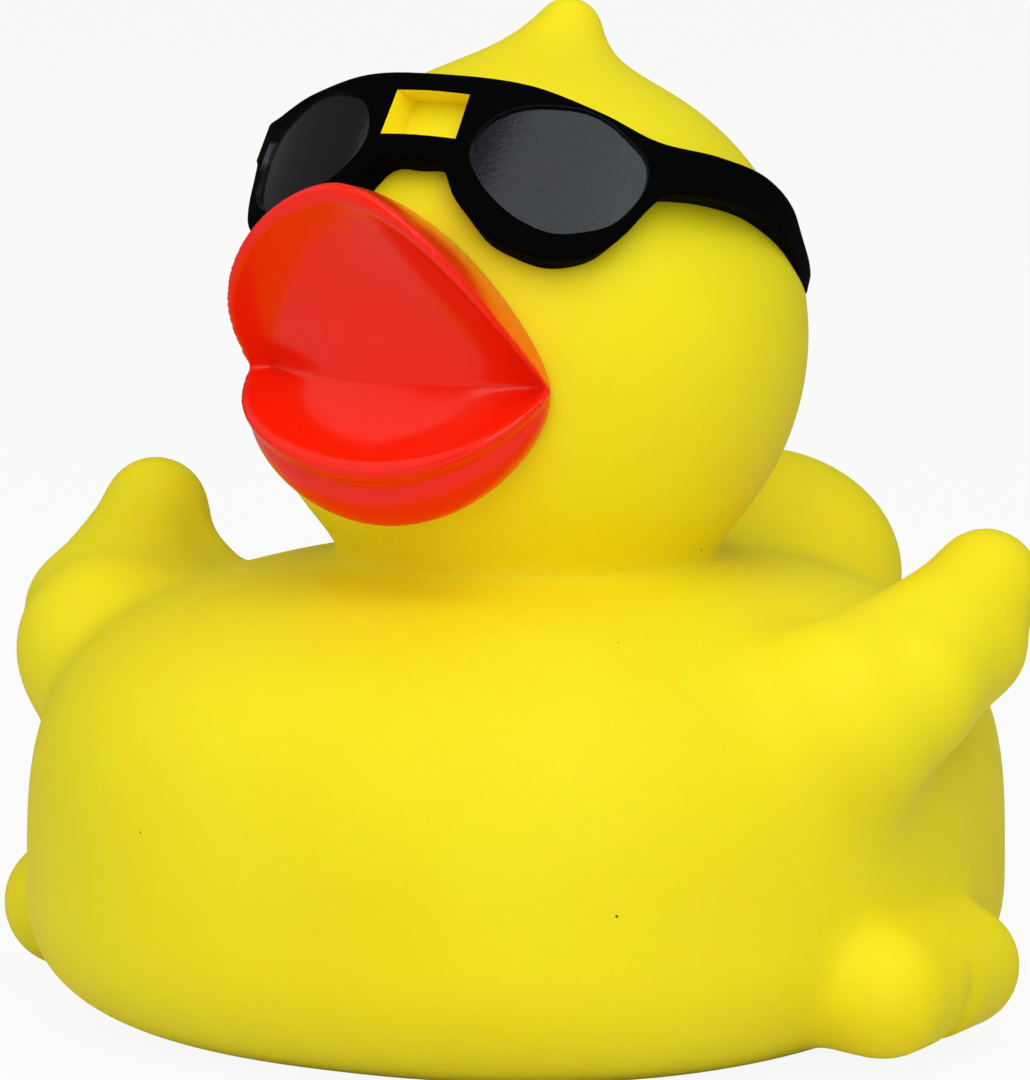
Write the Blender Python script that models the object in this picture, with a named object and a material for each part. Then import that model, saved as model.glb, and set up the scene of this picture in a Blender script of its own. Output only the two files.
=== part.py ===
"""Moulded vinyl bath duck in sunglasses, with the squeaker pressed into its base.

The duck faces -Y, its left side is +X and it stands on Z = 0. Sizes are in metres and angles
in degrees. The skin is one hollow moulding: the wings, feet, tail, bill and sunglasses are
raised forms of it. The squeaker is a cup with a reed and a cap inside.
"""

import bisect
import math

import bmesh
import bpy
from mathutils import Matrix, Vector

# Body: a loaf with a flat base, a superellipse in plan
BODY_HALF_WIDTH = 0.0432
BODY_HALF_LENGTH = 0.0439
BODY_HEIGHT = 0.0427
BODY_Y = -0.0063
UNDERSIDE_HALF_WIDTH = 0.0182
UNDERSIDE_TRIM = 0.0008
WIDEST_HEIGHT = 0.0132
PLAN_ROUNDNESS = 2.3
BACK_ROUNDNESS = 3.4
BASE_ROUNDNESS = 2.5

# Head: a ball sunk into the back of the body, with a tuft that leans to the rear
HEAD_RADIUS = 0.0255
HEAD_RISE = 0.0200
HEAD_Y = -0.0043
TUFT_RISE = 0.0046
TUFT_LEAN = 0.0073
TUFT_TIP_RADIUS = 0.0034
TUFT_ROOT_RADIUS = 0.0092
TUFT_ROOT_DEPTH = 0.0085

# Neck: a short collar that fills the crease under the head
NECK_RADIUS = 0.0190
NECK_RISE = 0.0022
NECK_DEPTH = 0.0040

# Tail: a broad upturned paddle behind the body
TAIL_OVERHANG = 0.0128
TAIL_RISE = 0.0044
TAIL_TIP_RADIUS = 0.0115
TAIL_ROOT_RADIUS = 0.0145
TAIL_SLOPE_BACK = 0.0085
TAIL_SLOPE_UP = 0.0110
TAIL_SPREAD = 1.35

# Wings: raised paddles on the sides of the body, each from two roots to one tip
WING_TIP_OUT = -0.0004
WING_TIP_Y = 0.0007
WING_TIP_DROP = 0.0023
WING_TIP_RADIUS = 0.0062
WING_ROOT_IN = 0.0060
UPPER_ROOT_AHEAD = 0.0190
UPPER_ROOT_DROP = 0.0088
UPPER_ROOT_RADIUS = 0.0080
LOWER_ROOT_AHEAD = 0.0115
LOWER_ROOT_DROP = 0.0125
LOWER_ROOT_RADIUS = 0.0068

# Feet: toes that swell out of the foot of the body
TOE_COUNT = 2
TOE_SPACING = 0.0138
FRONT_TOE_Y = -0.0161
TOE_OUT = 0.0010
TOE_HEIGHT = 0.0066
TOE_RADIUS = 0.0054
INSTEP_IN = 0.0066
INSTEP_HEIGHT = 0.0094
INSTEP_RADIUS = 0.0072

# Bill: two flared lips round a deep mouth crease, measured from the head's centre
MOUTH_HEIGHT = -0.0013
MOUTH_HALF_WIDTH = 0.0136
BILL_HALF_WIDTH = 0.0160
BILL_ROOT_HALF_WIDTH = 0.0144
LIP_CORNER_SETBACK = 0.0020
LIP_ROOT_DEPTH = 0.0020
LIP_OVERLAP = 0.0003
UPPER_LIP_HEIGHT = 0.0194
UPPER_LIP_REACH = 0.0098
UPPER_LIP_ROOT_HEIGHT = 0.0148
UPPER_LIP_EDGE = 0.0024
UPPER_LIP_HOLLOW = 0.0016
UPPER_LIP_BULGE = 0.0005
UPPER_LIP_FULLNESS = 1.72
UPPER_ROOT_FULLNESS = 1.5
LOWER_LIP_HEIGHT = 0.0082
LOWER_LIP_REACH = 0.0056
LOWER_LIP_ROOT_HEIGHT = 0.0128
LOWER_LIP_EDGE = 0.0026
LOWER_LIP_HOLLOW = 0.0008
LOWER_LIP_BULGE = 0.0028
LOWER_LIP_FULLNESS = 1.7
LOWER_ROOT_FULLNESS = 1.7

# Sunglasses: a tilted band on the head. Angles run round the head from the front, and
# heights from the head's centre along the tilted axis.
GLASSES_TILT = 26.0
GLASSES_END = 112.0
GLASSES_ROOT_DEPTH = 0.0012
GLASSES_EDGE = 0.0005
LENS_DEPTH = 0.0005
LENS_CENTRE = (30.0, 0.0080)
WINDOW_HALF_ANGLE = 8.3
WINDOW_BOTTOM = 0.0095
WINDOW_TOP = 0.0140
GLASSES_TAPER = 0.12
GLASSES_MIDDLE = 0.0060
GLASSES_STAND = ((0, 0.0022), (25, 0.0019), (45, 0.0026), (55, 0.0027), (65, 0.0017),
                 (80, 0.0000), (95, -0.0011), (112, -0.0010))
GLASSES_TOP = ((0, 0.0159), (20, 0.0159), (35, 0.0146), (47, 0.0132), (60, 0.0138),
               (75, 0.0144), (88, 0.0138), (100, 0.0122), (112, 0.0108))
GLASSES_BOTTOM = ((0, 0.0069), (7, 0.0067), (11, 0.0040), (15, 0.0022), (19, 0.0007),
                  (24, -0.0001), (30, -0.0005), (35, 0.0000), (40, 0.0014), (44, 0.0038),
                  (47, 0.0064), (50, 0.0083), (57, 0.0094), (66, 0.0102), (76, 0.0106),
                  (90, 0.0101), (101, 0.0090), (112, 0.0084))
LENS_OUTLINE = ((30, 0.0145), (36, 0.0140), (41, 0.0127), (45, 0.0112), (46, 0.0094),
                (45, 0.0072), (41, 0.0042), (35, 0.0026), (30, 0.0021), (24, 0.0028),
                (19, 0.0042), (15, 0.0059), (12, 0.0080), (12, 0.0102), (15, 0.0124),
                (21, 0.0139))

# Skin wall, and the hole in the base that grips the squeaker
WALL = 0.0024
BOSS_RADIUS = 0.0122
BOSS_RISE = 0.0030
RECESS_RADIUS = 0.0112
RECESS_DEPTH = 0.0016
HOLE_RADIUS = 0.0080

# Squeaker: a flanged cup, a slotted cap in its top and a reed over the slot
FIT_GAP = 0.0003
FLANGE_THICKNESS = 0.0008
BEAD_OUT = 0.0010
BEAD_HEIGHT = 0.0014
CUP_RISE = 0.0022
CUP_RIM = 0.0009
CUP_LEDGE = 0.0008
CUP_FLOOR = 0.0014
VENT_RADIUS = 0.0016
CAP_THICKNESS = 0.0010
REED_LENGTH = 0.0095
REED_WIDTH = 0.0034
REED_THICKNESS = 0.0003
SLOT_LENGTH = 0.0060
SLOT_WIDTH = 0.0014

# Mesh fineness
SKIN_VOXEL = 0.0008
SKIN_SMOOTHING = 16
SKIN_DECIMATION = 0.042
BILL_VOXEL = 0.0004
BILL_SMOOTHING = 3
BILL_DECIMATION = 0.06
CAVITY_VOXEL = 0.0012
CAVITY_SMOOTHING = 6
CAVITY_DECIMATION = 0.035
PLAN_POINTS = 64
ROUND_POINTS = 32
LIP_STATIONS = 24
GLASSES_STEP = 2.5

HEAD_CENTRE = Vector((0, HEAD_Y, BODY_HEIGHT + HEAD_RISE))
BASE_CENTRE = Vector((0, BODY_Y, 0))
BOSS_TOP = WALL + BOSS_RISE

YELLOW_VINYL = ("yellow_vinyl", (0.90, 0.78, 0.02), 0.45)
WHITE_PLASTIC = ("white_plastic", (0.85, 0.85, 0.82), 0.35)
REED_FILM = ("reed_film", (0.70, 0.72, 0.70), 0.30)


def clear_scene():
    for old in list(bpy.data.objects):
        bpy.data.objects.remove(old, do_unlink=True)


def make_material(name, colour, roughness):
    material = bpy.data.materials.get(name) or bpy.data.materials.new(name)
    material.use_nodes = True
    shader = material.node_tree.nodes["Principled BSDF"]
    shader.inputs["Base Color"].default_value = (*colour, 1.0)
    shader.inputs["Roughness"].default_value = roughness
    return material


def make_object(name, mesh, finish=None):
    """Makes an object of a bmesh. One with no finish is a helper form, drawn as wire."""
    bmesh.ops.recalc_face_normals(mesh, faces=mesh.faces)
    data = bpy.data.meshes.new(name)
    mesh.to_mesh(data)
    mesh.free()
    made = bpy.data.objects.new(name, data)
    bpy.context.scene.collection.objects.link(made)
    if finish:
        data.materials.append(make_material(*finish))
        data.shade_smooth()
        data.set_sharp_from_angle(angle=math.radians(40))
    else:
        made.hide_render = True
        made.display_type = "WIRE"
    return made


def add_modifier(target, kind, **settings):
    modifier = target.modifiers.new(kind.title(), kind)
    for name, value in settings.items():
        setattr(modifier, name, value)


def cut(target, form):
    add_modifier(target, "BOOLEAN", operation="DIFFERENCE", object=form, solver="EXACT")


def join(target, form):
    add_modifier(target, "BOOLEAN", operation="UNION", object=form, solver="EXACT")


def blend(target, voxel, smoothing, ratio):
    """Melts overlapping shells into one skin with soft fillets where they meet."""
    add_modifier(target, "REMESH", mode="VOXEL", voxel_size=voxel, use_smooth_shade=True)
    add_modifier(target, "SMOOTH", factor=0.5, iterations=smoothing)
    add_modifier(target, "DECIMATE", ratio=ratio)


def steps(count, first=0.0, last=1.0):
    return [first + (last - first) * i / count for i in range(count + 1)]


def signed_power(value, power):
    return math.copysign(abs(value) ** power, value)


def smooth_curve(points, place):
    """The value at a place on the smooth curve through (place, value) points."""
    places = [point[0] for point in points]
    place = min(max(place, places[0]), places[-1])
    last = len(points) - 1
    index = min(bisect.bisect_right(places, place), last) - 1
    (x0, y0), (x1, y1) = points[index], points[index + 1]
    before, after = points[max(index - 1, 0)], points[min(index + 2, last)]
    slope0 = (y1 - before[1]) / (x1 - before[0])
    slope1 = (after[1] - y0) / (after[0] - x0)
    t = (place - x0) / (x1 - x0)
    span = x1 - x0
    start = (1 + 2 * t) * (1 - t) ** 2 * y0 + t * (1 - t) ** 2 * span * slope0
    end = t * t * (3 - 2 * t) * y1 + t * t * (t - 1) * span * slope1
    return start + end


def loft(mesh, rings, closed=False):
    """Adds a shell through rings of points. A ring of one point is a tip."""
    loops = [[mesh.verts.new(point) for point in ring] for ring in rings]
    pairs = list(zip(loops, loops[1:]))
    if closed:
        pairs.append((loops[-1], loops[0]))
    for first, second in pairs:
        count = max(len(first), len(second))
        for i in range(count):
            j = (i + 1) % count
            corners = [first[i % len(first)], first[j % len(first)],
                       second[j % len(second)], second[i % len(second)]]
            mesh.faces.new(list(dict.fromkeys(corners)))
    if closed:
        return
    for end in (loops[0], loops[-1]):
        if len(end) > 1:
            mesh.faces.new(end)


def circle(centre, across, up, radius, count=ROUND_POINTS):
    """A ring of points round a centre, in the plane of two unit directions."""
    if radius < 1e-7:
        return [centre]
    turns = [2 * math.pi * i / count for i in range(count)]
    return [centre + radius * (math.cos(turn) * across + math.sin(turn) * up)
            for turn in turns]


def rounded_cone(mesh, start, start_radius, end, end_radius, spread=1.0):
    """Adds the skin stretched over two balls. Spread widens it across the duck."""
    axis = end - start
    length = axis.length
    axis.normalize()
    across = axis.orthogonal().normalized()
    up = axis.cross(across)
    lean = math.asin((start_radius - end_radius) / length)
    rings = []
    for centre, radius, first, last in (
        (start, start_radius, -math.pi / 2, lean),
        (end, end_radius, lean, math.pi / 2),
    ):
        for angle in steps(8, first, last):
            ring_centre = centre + radius * math.sin(angle) * axis
            rings.append(circle(ring_centre, across, up, radius * math.cos(angle)))
    rings = [[Vector((p.x * spread, p.y, p.z)) for p in ring] for ring in rings]
    loft(mesh, rings)


def turned(mesh, profile, centre, closed=False):
    """Adds a shell turned about the vertical through a centre, from (radius, height) points."""
    across, up = Vector((1, 0, 0)), Vector((0, 1, 0))
    rings = [circle(centre + Vector((0, 0, height)), across, up, radius)
             for radius, height in profile]
    loft(mesh, rings, closed)


def body_share(height):
    """How much of the body's full plan it fills at a height."""
    if height < WIDEST_HEIGHT:
        base = UNDERSIDE_HALF_WIDTH / BODY_HALF_WIDTH
        drop = (WIDEST_HEIGHT - height) / (WIDEST_HEIGHT + UNDERSIDE_TRIM)
        return base + (1 - base) * (1 - drop ** BASE_ROUNDNESS) ** (1 / BASE_ROUNDNESS)
    rise = (height - WIDEST_HEIGHT) / (BODY_HEIGHT - WIDEST_HEIGHT)
    return (1 - rise ** BACK_ROUNDNESS) ** (1 / BACK_ROUNDNESS)


def body_form(mesh, inset):
    """Adds the body. Its rounded underside runs below the ground, which trims it flat."""
    below = WIDEST_HEIGHT + UNDERSIDE_TRIM
    above = BODY_HEIGHT - WIDEST_HEIGHT
    heights = [WIDEST_HEIGHT - below * math.cos(math.pi / 2 * s) for s in steps(12)]
    heights += [WIDEST_HEIGHT + above * math.sin(math.pi / 2 * s) for s in steps(14)[1:]]
    squash = (BODY_HEIGHT - 2 * inset) / BODY_HEIGHT
    power = 2 / PLAN_ROUNDNESS
    rings = []
    for height in heights:
        share = max(body_share(height), 0.0)
        level = inset + height * squash
        if share < 1e-4:
            rings.append([Vector((0, BODY_Y, level))])
            continue
        ring = []
        for i in range(PLAN_POINTS):
            turn = 2 * math.pi * i / PLAN_POINTS
            x = share * (BODY_HALF_WIDTH - inset) * signed_power(math.cos(turn), power)
            y = share * (BODY_HALF_LENGTH - inset) * signed_power(math.sin(turn), power)
            ring.append(Vector((x, BODY_Y + y, level)))
        rings.append(ring)
    loft(mesh, rings)


def head_form(mesh, inset):
    place = Matrix.Translation(HEAD_CENTRE)
    bmesh.ops.create_icosphere(mesh, subdivisions=5, radius=HEAD_RADIUS - inset, matrix=place)


def neck_form(mesh, inset):
    foot, top = BODY_HEIGHT - NECK_DEPTH, BODY_HEIGHT + NECK_RISE
    radius = NECK_RADIUS - inset
    turned(mesh, ((0, foot), (radius, foot), (radius, top), (0, top)), Vector((0, HEAD_Y, 0)))


def tail_form(mesh, inset):
    tip = Vector((
        0,
        BODY_Y + BODY_HALF_LENGTH + TAIL_OVERHANG - TAIL_TIP_RADIUS,
        BODY_HEIGHT + TAIL_RISE - TAIL_TIP_RADIUS,
    ))
    root = tip - Vector((0, TAIL_SLOPE_BACK, TAIL_SLOPE_UP))
    rounded_cone(mesh, root, TAIL_ROOT_RADIUS - inset, tip, TAIL_TIP_RADIUS - inset, TAIL_SPREAD)


def wing_forms(mesh, inset, side):
    tip = Vector((
        side * (BODY_HALF_WIDTH + WING_TIP_OUT),
        WING_TIP_Y,
        BODY_HEIGHT - WING_TIP_DROP,
    ))
    for ahead, drop, radius in (
        (UPPER_ROOT_AHEAD, UPPER_ROOT_DROP, UPPER_ROOT_RADIUS),
        (LOWER_ROOT_AHEAD, LOWER_ROOT_DROP, LOWER_ROOT_RADIUS),
    ):
        root = Vector((
            side * (BODY_HALF_WIDTH - WING_ROOT_IN),
            WING_TIP_Y - ahead,
            BODY_HEIGHT - drop,
        ))
        rounded_cone(mesh, root, radius - inset, tip, WING_TIP_RADIUS - inset)


def foot_forms(mesh, side):
    for i in range(TOE_COUNT):
        y = FRONT_TOE_Y + i * TOE_SPACING
        toe = Vector((side * (BODY_HALF_WIDTH + TOE_OUT), y, TOE_HEIGHT))
        instep = Vector((side * (BODY_HALF_WIDTH - INSTEP_IN), y, INSTEP_HEIGHT))
        rounded_cone(mesh, instep, INSTEP_RADIUS, toe, TOE_RADIUS)


def tuft_form(mesh):
    tip_height = HEAD_RADIUS + TUFT_RISE - TUFT_TIP_RADIUS
    tip = HEAD_CENTRE + Vector((0, TUFT_LEAN, tip_height))
    root = HEAD_CENTRE + Vector((0, 0, HEAD_RADIUS - TUFT_ROOT_DEPTH))
    rounded_cone(mesh, root, TUFT_ROOT_RADIUS, tip, TUFT_TIP_RADIUS)


def head_front(x, z, stand=0.0):
    """The point on the front of the head at a place seen from ahead, stood off or sunk."""
    radius = HEAD_RADIUS + stand
    return Vector((x, -math.sqrt(radius ** 2 - x * x - z * z), z))


def lip_section(turn, lip):
    """The outline of one lip at a turn from -1 to 1 along it, about the head's centre."""
    direction, height, reach, root_height, edge, hollow, bulge, fullness, root_fullness = lip
    side = math.sin(math.pi / 2 * turn)
    rise = math.cos(math.pi / 2 * turn)
    rim_rise = abs(rise) ** (2 / fullness)
    rim = Vector((
        BILL_HALF_WIDTH * signed_power(side, 2 / fullness),
        -(HEAD_RADIUS + reach) + (reach + LIP_CORNER_SETBACK) * (1 - rim_rise) ** 2,
        MOUTH_HEIGHT + direction * height * rim_rise,
    ))
    root = head_front(
        BILL_ROOT_HALF_WIDTH * signed_power(side, 2 / root_fullness),
        MOUTH_HEIGHT + direction * root_height * abs(rise) ** (2 / root_fullness),
    )
    crease = head_front(MOUTH_HALF_WIDTH * side, MOUTH_HEIGHT, LIP_OVERLAP)
    crease.z -= direction * LIP_OVERLAP
    to_crease = crease - rim
    to_root = root - rim
    edge = min(edge, 0.4 * to_crease.length, 0.4 * to_root.length)
    inner = rim + edge * to_crease.normalized()
    outer = rim + edge * to_root.normalized()
    sag = hollow * rise * Vector((0, 0.8, 0.6 * direction))
    face = [crease.lerp(inner, t) + 4 * t * (1 - t) * sag for t in steps(4)]
    bow = [inner * (1 - t) ** 2 + 2 * t * (1 - t) * rim + outer * t * t for t in steps(4)[1:-1]]
    sunk_root = root * (1 - LIP_ROOT_DEPTH / HEAD_RADIUS)
    sunk_crease = crease * (1 - LIP_ROOT_DEPTH / HEAD_RADIUS)
    swell = bulge * rise * ((outer + root) / 2 - sunk_crease).normalized()
    flank = [outer.lerp(root, t) + 4 * t * (1 - t) * swell for t in steps(4)]
    return [HEAD_CENTRE + p for p in face + bow + flank + [sunk_root, sunk_crease]]


def bill_form():
    """Both lips, upper and lower, as the direction, sizes and roundness of each."""
    mesh = bmesh.new()
    for lip in (
        (1, UPPER_LIP_HEIGHT, UPPER_LIP_REACH, UPPER_LIP_ROOT_HEIGHT, UPPER_LIP_EDGE,
         UPPER_LIP_HOLLOW, UPPER_LIP_BULGE, UPPER_LIP_FULLNESS, UPPER_ROOT_FULLNESS),
        (-1, LOWER_LIP_HEIGHT, LOWER_LIP_REACH, LOWER_LIP_ROOT_HEIGHT, LOWER_LIP_EDGE,
         LOWER_LIP_HOLLOW, LOWER_LIP_BULGE, LOWER_LIP_FULLNESS, LOWER_ROOT_FULLNESS),
    ):
        loft(mesh, [lip_section(turn, lip) for turn in steps(LIP_STATIONS, -1.0, 1.0)])
    bill = make_object("bill_form", mesh)
    blend(bill, BILL_VOXEL, BILL_SMOOTHING, BILL_DECIMATION)
    return bill


def glasses_point(angle, height, radius):
    """A point on the tilted band, from its angle round the head, height and radius."""
    turn, tilt = math.radians(angle), math.radians(GLASSES_TILT)
    forward = Vector((0, -math.cos(tilt), math.sin(tilt)))
    up = Vector((0, math.sin(tilt), math.cos(tilt)))
    out = radius * math.cos(turn)
    return HEAD_CENTRE + Vector((radius * math.sin(turn), 0, 0)) + out * forward + height * up


def glasses_radius(angle, height):
    """The band's outer face, which leans in towards its top."""
    stand = smooth_curve(GLASSES_STAND, abs(angle))
    lean = GLASSES_TAPER * (GLASSES_MIDDLE - height) * max(math.cos(math.radians(angle)), 0)
    return HEAD_RADIUS + stand + lean


def head_slice(height):
    """The head's radius in the tilted slice at a height."""
    return math.sqrt(HEAD_RADIUS ** 2 - height ** 2)


def band_section(angle):
    """The outline of the band at an angle round the head, sunk a little into it."""
    low = smooth_curve(GLASSES_BOTTOM, abs(angle))
    high = smooth_curve(GLASSES_TOP, abs(angle))
    edge = GLASSES_EDGE
    profile = [
        (low, head_slice(low) - GLASSES_ROOT_DEPTH),
        (low, glasses_radius(angle, low) - edge),
        (low + edge, glasses_radius(angle, low + edge)),
        (high - edge, glasses_radius(angle, high - edge)),
        (high, glasses_radius(angle, high) - edge),
        (high, head_slice(high) - GLASSES_ROOT_DEPTH),
    ]
    return [glasses_point(angle, height, radius) for height, radius in profile]


def glasses_pad(name, outline, centre, depth, height):
    """A block over an outline on the band, from a depth below its face to a height above."""
    mesh = bmesh.new()
    rings = []
    for share, offset in ((0, -depth), (0.5, -depth), (1, -depth), (1, height), (0, height)):
        ring = []
        for angle, level in outline if share else (centre,):
            place = centre[0] + share * (angle - centre[0])
            rise = centre[1] + share * (level - centre[1])
            ring.append(glasses_point(place, rise, glasses_radius(place, rise) + offset))
        rings.append(ring)
    loft(mesh, rings)
    return make_object(name, mesh)


def glasses_form():
    mesh = bmesh.new()
    count = round(2 * GLASSES_END / GLASSES_STEP)
    loft(mesh, [band_section(angle) for angle in steps(count, -GLASSES_END, GLASSES_END)])
    band = make_object("glasses_form", mesh)
    clear = 2 * GLASSES_EDGE
    for name, side in (("left_lens_form", 1), ("right_lens_form", -1)):
        outline = [(side * angle, level) for angle, level in LENS_OUTLINE]
        centre = (side * LENS_CENTRE[0], LENS_CENTRE[1])
        cut(band, glasses_pad(name, outline, centre, LENS_DEPTH, clear))
    half = WINDOW_HALF_ANGLE
    window = ((-half, WINDOW_BOTTOM), (half, WINDOW_BOTTOM), (half, WINDOW_TOP),
              (-half, WINDOW_TOP))
    middle = (0, (WINDOW_BOTTOM + WINDOW_TOP) / 2)
    cut(band, glasses_pad("window_form", window, middle, HEAD_RADIUS / 2, clear))
    return band


def ground_form():
    """A block that trims the skin flat where it stands."""
    mesh = bmesh.new()
    size = 4 * BODY_HALF_LENGTH
    place = Matrix.Translation((0, 0, -size / 2))
    bmesh.ops.create_cube(mesh, size=size, matrix=place)
    return make_object("ground_form", mesh)


def boss_form():
    mesh = bmesh.new()
    turned(mesh, ((0, -WALL), (BOSS_RADIUS, -WALL), (BOSS_RADIUS, BOSS_TOP), (0, BOSS_TOP)),
           BASE_CENTRE)
    return make_object("boss_form", mesh)


def seat_form():
    """The stepped hole through the base: a shallow recess and the hole that grips the cup."""
    mesh = bmesh.new()
    top = BOSS_TOP + WALL
    turned(mesh, ((0, -WALL), (RECESS_RADIUS, -WALL), (RECESS_RADIUS, RECESS_DEPTH),
                  (HOLE_RADIUS, RECESS_DEPTH), (HOLE_RADIUS, top), (0, top)), BASE_CENTRE)
    return make_object("seat_form", mesh)


def cavity_form():
    """The hollow of the skin. The toes and tuft are solid, as small pockets fill when cast."""
    mesh = bmesh.new()
    body_form(mesh, WALL)
    head_form(mesh, WALL)
    neck_form(mesh, 2 * WALL)
    tail_form(mesh, WALL)
    for side in (-1, 1):
        wing_forms(mesh, WALL, side)
    hollow = make_object("cavity_form", mesh)
    blend(hollow, CAVITY_VOXEL, CAVITY_SMOOTHING, CAVITY_DECIMATION)
    cut(hollow, boss_form())
    return hollow


def duck_skin():
    mesh = bmesh.new()
    body_form(mesh, 0)
    head_form(mesh, 0)
    neck_form(mesh, 0)
    tail_form(mesh, 0)
    tuft_form(mesh)
    for side in (-1, 1):
        wing_forms(mesh, 0, side)
        foot_forms(mesh, side)
    skin = make_object("duck_skin", mesh, YELLOW_VINYL)
    blend(skin, SKIN_VOXEL, SKIN_SMOOTHING, SKIN_DECIMATION)
    join(skin, bill_form())
    join(skin, glasses_form())
    cut(skin, cavity_form())
    cut(skin, ground_form())
    cut(skin, seat_form())


def squeaker():
    """The cup, its cap and its reed, stacked upwards from the recess in the base."""
    stem = HOLE_RADIUS - FIT_GAP
    seat = stem - CUP_RIM
    bore = seat - CUP_LEDGE
    flange_top = RECESS_DEPTH - FIT_GAP
    flange_foot = flange_top - FLANGE_THICKNESS
    floor_top = flange_foot + CUP_FLOOR
    bead_foot = BOSS_TOP + FIT_GAP
    bead_top = bead_foot + BEAD_HEIGHT
    cap_foot = bead_top + FIT_GAP
    cap_top = cap_foot + CAP_THICKNESS
    rim = bead_top + CUP_RISE
    mesh = bmesh.new()
    turned(mesh, (
        (VENT_RADIUS, flange_foot),
        (RECESS_RADIUS - FIT_GAP, flange_foot),
        (RECESS_RADIUS - FIT_GAP, flange_top),
        (stem, flange_top),
        (stem, bead_foot),
        (stem + BEAD_OUT, bead_foot),
        (stem, bead_top),
        (stem, rim),
        (seat, rim),
        (seat, bead_top),
        (bore, bead_top),
        (bore, floor_top),
        (VENT_RADIUS, floor_top),
    ), BASE_CENTRE, closed=True)
    make_object("squeaker_cup", mesh, WHITE_PLASTIC)

    mesh = bmesh.new()
    turned(mesh, ((0, cap_foot), (seat - FIT_GAP, cap_foot), (seat - FIT_GAP, cap_top),
                  (0, cap_top)), BASE_CENTRE)
    cap = make_object("squeaker_cap", mesh, WHITE_PLASTIC)
    mesh = bmesh.new()
    slot = (Matrix.Translation(BASE_CENTRE + Vector((0, 0, cap_foot)))
            @ Matrix.Diagonal((SLOT_LENGTH, SLOT_WIDTH, 4 * CAP_THICKNESS, 1)))
    bmesh.ops.create_cube(mesh, size=1, matrix=slot)
    cut(cap, make_object("slot_form", mesh))

    mesh = bmesh.new()
    half = REED_LENGTH / 2 - REED_WIDTH / 2
    reed_foot = cap_top + FIT_GAP
    outline = []
    for end in (-1, 1):
        for turn in steps(8, -math.pi / 2, math.pi / 2):
            x = end * (half + REED_WIDTH / 2 * math.cos(turn))
            outline.append((x, end * REED_WIDTH / 2 * math.sin(turn)))
    loft(mesh, [[BASE_CENTRE + Vector((x, y, z)) for x, y in outline]
                for z in (reed_foot, reed_foot + REED_THICKNESS)])
    make_object("squeaker_reed", mesh, REED_FILM)


clear_scene()
duck_skin()
squeaker()
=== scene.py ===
"""Looks of a moulded vinyl bath duck in sunglasses, laid out as a Blender add-on.

The duck faces -Y, its left side is +X and it stands on Z = 0. Sizes are in metres and angles in
degrees. The skin, bill and sunglasses are made fine enough for smooth highlights, from the same
forms as the frame's own solid, and the squeaker sits in the hole in the base.
"""

import bisect
import math

import bmesh
import bpy
import numpy as np
from bpy.props import FloatProperty, FloatVectorProperty, IntProperty, PointerProperty
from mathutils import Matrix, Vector


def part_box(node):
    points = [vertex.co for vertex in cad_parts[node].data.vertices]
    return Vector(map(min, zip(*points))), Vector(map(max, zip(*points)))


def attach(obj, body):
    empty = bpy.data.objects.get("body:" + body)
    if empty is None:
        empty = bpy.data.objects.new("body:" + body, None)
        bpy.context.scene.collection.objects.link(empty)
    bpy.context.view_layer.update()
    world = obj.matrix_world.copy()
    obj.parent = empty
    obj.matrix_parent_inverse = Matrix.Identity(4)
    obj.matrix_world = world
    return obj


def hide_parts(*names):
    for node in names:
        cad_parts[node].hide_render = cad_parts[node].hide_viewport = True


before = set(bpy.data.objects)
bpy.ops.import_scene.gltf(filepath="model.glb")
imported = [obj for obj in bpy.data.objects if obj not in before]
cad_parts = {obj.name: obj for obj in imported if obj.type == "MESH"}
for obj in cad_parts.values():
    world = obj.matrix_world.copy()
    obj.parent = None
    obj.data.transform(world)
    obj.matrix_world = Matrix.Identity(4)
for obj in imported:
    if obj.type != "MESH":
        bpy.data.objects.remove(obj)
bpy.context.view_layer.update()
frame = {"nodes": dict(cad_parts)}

bl_info = {
    "name": "Bath duck in sunglasses",
    "version": (1, 0, 0),
    "blender": (4, 5, 0),
    "location": "3D View > Sidebar > Duck",
    "description": "Dresses a moulded vinyl duck with its skin, painted bill and sunglasses",
    "category": "Mesh",
}

SKIN_LOW, SKIN_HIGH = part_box("duck_skin")

# Points nearer to each other than this are one point
SAME_POINT = 1e-7
# Edges that turn by more than this look sharp
SHARP_ANGLE = 38
# Nearly all the values of a noise lie between these two
NOISE_LOW, NOISE_HIGH = 0.3, 0.7
# The rounding of a lip's rim takes at most this share of the faces beside it
EDGE_LIMIT = 0.4
# The hollow in a lip's face goes this much to the rear and this much away from the crease
SAG_BACK, SAG_AWAY = 0.8, 0.6


def linear(code):
    """The linear colour of an sRGB hex code."""
    shares = [int(code[i:i + 2], 16) / 255 for i in (1, 3, 5)]
    return tuple(s / 12.92 if s <= 0.04045 else ((s + 0.055) / 1.055) ** 2.4 for s in shares)


def length(description, default):
    return FloatProperty(description=description, default=default, unit="LENGTH", precision=5)


def plain(description, default):
    return FloatProperty(description=description, default=default)


def ball_sizes(description, default):
    return FloatVectorProperty(description=description, default=default, size=4,
                               unit="LENGTH", precision=5)


def lamp(description, default):
    return FloatVectorProperty(description=description, default=default, size=3)


def count(description, default):
    return IntProperty(description=description, default=default, min=1)


def colour(description, code):
    return FloatVectorProperty(description=description, default=linear(code),
                               subtype="COLOR", size=3, min=0.0, max=1.0)


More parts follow.
